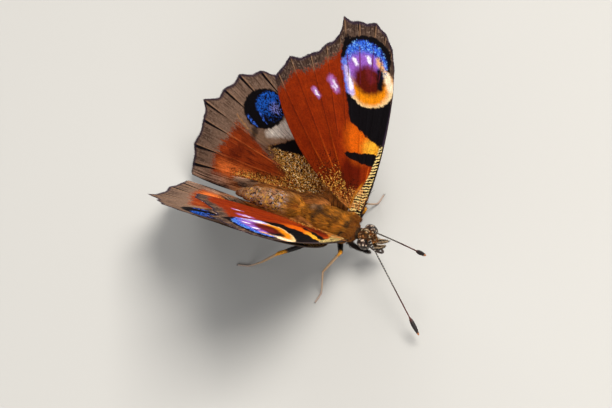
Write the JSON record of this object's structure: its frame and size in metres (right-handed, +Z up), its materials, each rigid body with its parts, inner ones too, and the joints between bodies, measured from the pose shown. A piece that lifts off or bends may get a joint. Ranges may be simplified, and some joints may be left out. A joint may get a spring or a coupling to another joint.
{
  "type": "peacock butterfly model",
  "caption": "Still life-size peacock butterfly standing with its scalloped wings half raised, clubbed antennae spread and abdomen between the hindwings.",
  "frame": {"origin": "middle of the base of the whole insect's box, on the surface its feet stand on", "axes": "+Z up, head towards -Y, the insect's left towards +X"},
  "size_m": [0.0324, 0.0424, 0.0339],
  "materials": {
    "thorax_fur": "tawny brown fur, matt",
    "abdomen_scales": "blackish brown scales and short hair with gold specks, matt",
    "head_scales": "dark brown scales and bristles with pale specks",
    "eye": "dark brown, glossy, finely faceted",
    "antenna": "black with whitish rings, dark club with a pale tip",
    "proboscis": "black-brown, slightly glossy",
    "forewing": "rust-red scales with a black, blue, violet and yellow eyespot and a grey-brown edge",
    "hindwing": "rust-red scales with a black and blue eyespot and a grey-brown border",
    "leg_dark": "black, short-haired",
    "leg_pale": "tan, satin"
  },
  "bodies": {
    "root": {"abdomen": "abdomen_scales", "antenna_left": "antenna", "antenna_right": "antenna", "eye_left": "eye", "eye_right": "eye", "foreleg_left": "leg_dark", "foreleg_right": "leg_dark", "forewing_left": "forewing", "forewing_right": "forewing", "head": "head_scales", "hindleg_left_femur": "leg_dark", "hindleg_left_tarsus": "leg_pale", "hindleg_left_tibia": "leg_pale", "hindleg_right_femur": "leg_dark", "hindleg_right_tarsus": "leg_pale", "hindleg_right_tibia": "leg_pale", "hindwing_left": "hindwing", "hindwing_right": "hindwing", "midleg_left_femur": "leg_dark", "midleg_left_tarsus": "leg_pale", "midleg_left_tibia": "leg_pale", "midleg_right_femur": "leg_dark", "midleg_right_tarsus": "leg_pale", "midleg_right_tibia": "leg_pale", "palp_left": "head_scales", "palp_right": "head_scales", "proboscis": "proboscis", "thorax": "thorax_fur"}
  },
  "joints": []
}
